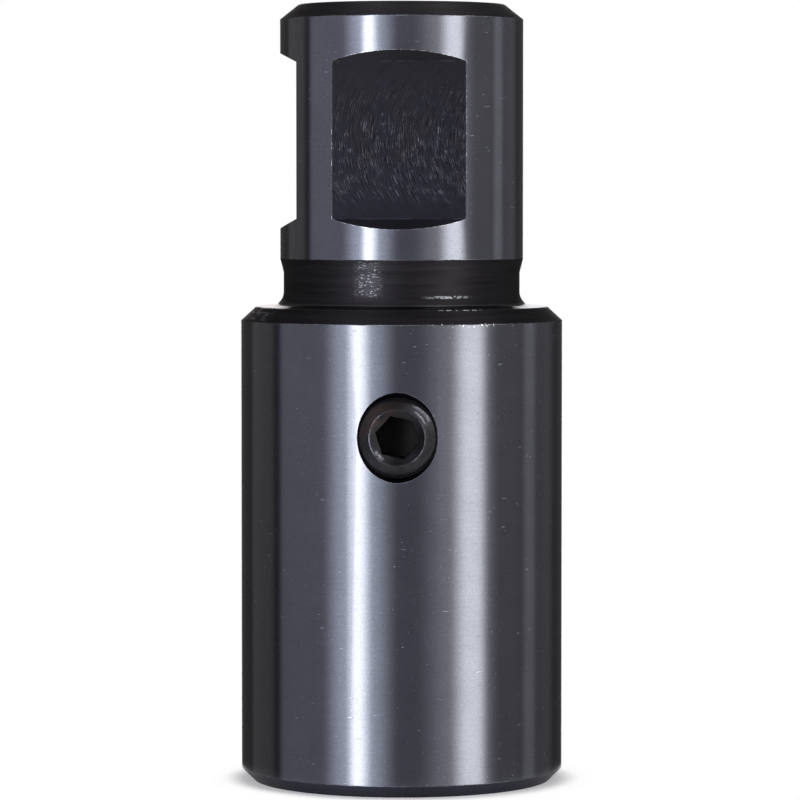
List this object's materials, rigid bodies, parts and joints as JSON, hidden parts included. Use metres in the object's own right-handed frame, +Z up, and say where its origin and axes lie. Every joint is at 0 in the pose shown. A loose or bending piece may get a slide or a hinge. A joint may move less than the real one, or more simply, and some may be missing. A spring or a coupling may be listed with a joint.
{
  "type": "tap holder",
  "caption": "Turned steel tap holder: straight shank with two clamping flats, a thicker ground body with a tap bore and square drive socket, and a socket set screw.",
  "frame": {"origin": "centre of the lower end face, where the tap goes in", "axes": "+Z up the holder's axis to the end of the shank, -Y towards the set screw and one clamping flat, -X towards the other flat"},
  "size_m": [0.0252, 0.0252, 0.0607],
  "materials": {
    "holder_steel": "black oxide steel, finely ground on the shank and body, turned or milled elsewhere",
    "screw_steel": "black oxide alloy steel, rolled thread"
  },
  "bodies": {
    "holder": {"holder_body": "holder_steel"},
    "screw": {"set_screw": "screw_steel"}
  },
  "joints": [
    {"name": "screw_travel", "type": "slide", "parent": "holder", "child": "screw", "axis": [0, 1, 0], "range_m": [-0.004, 0.004]}
  ]
}
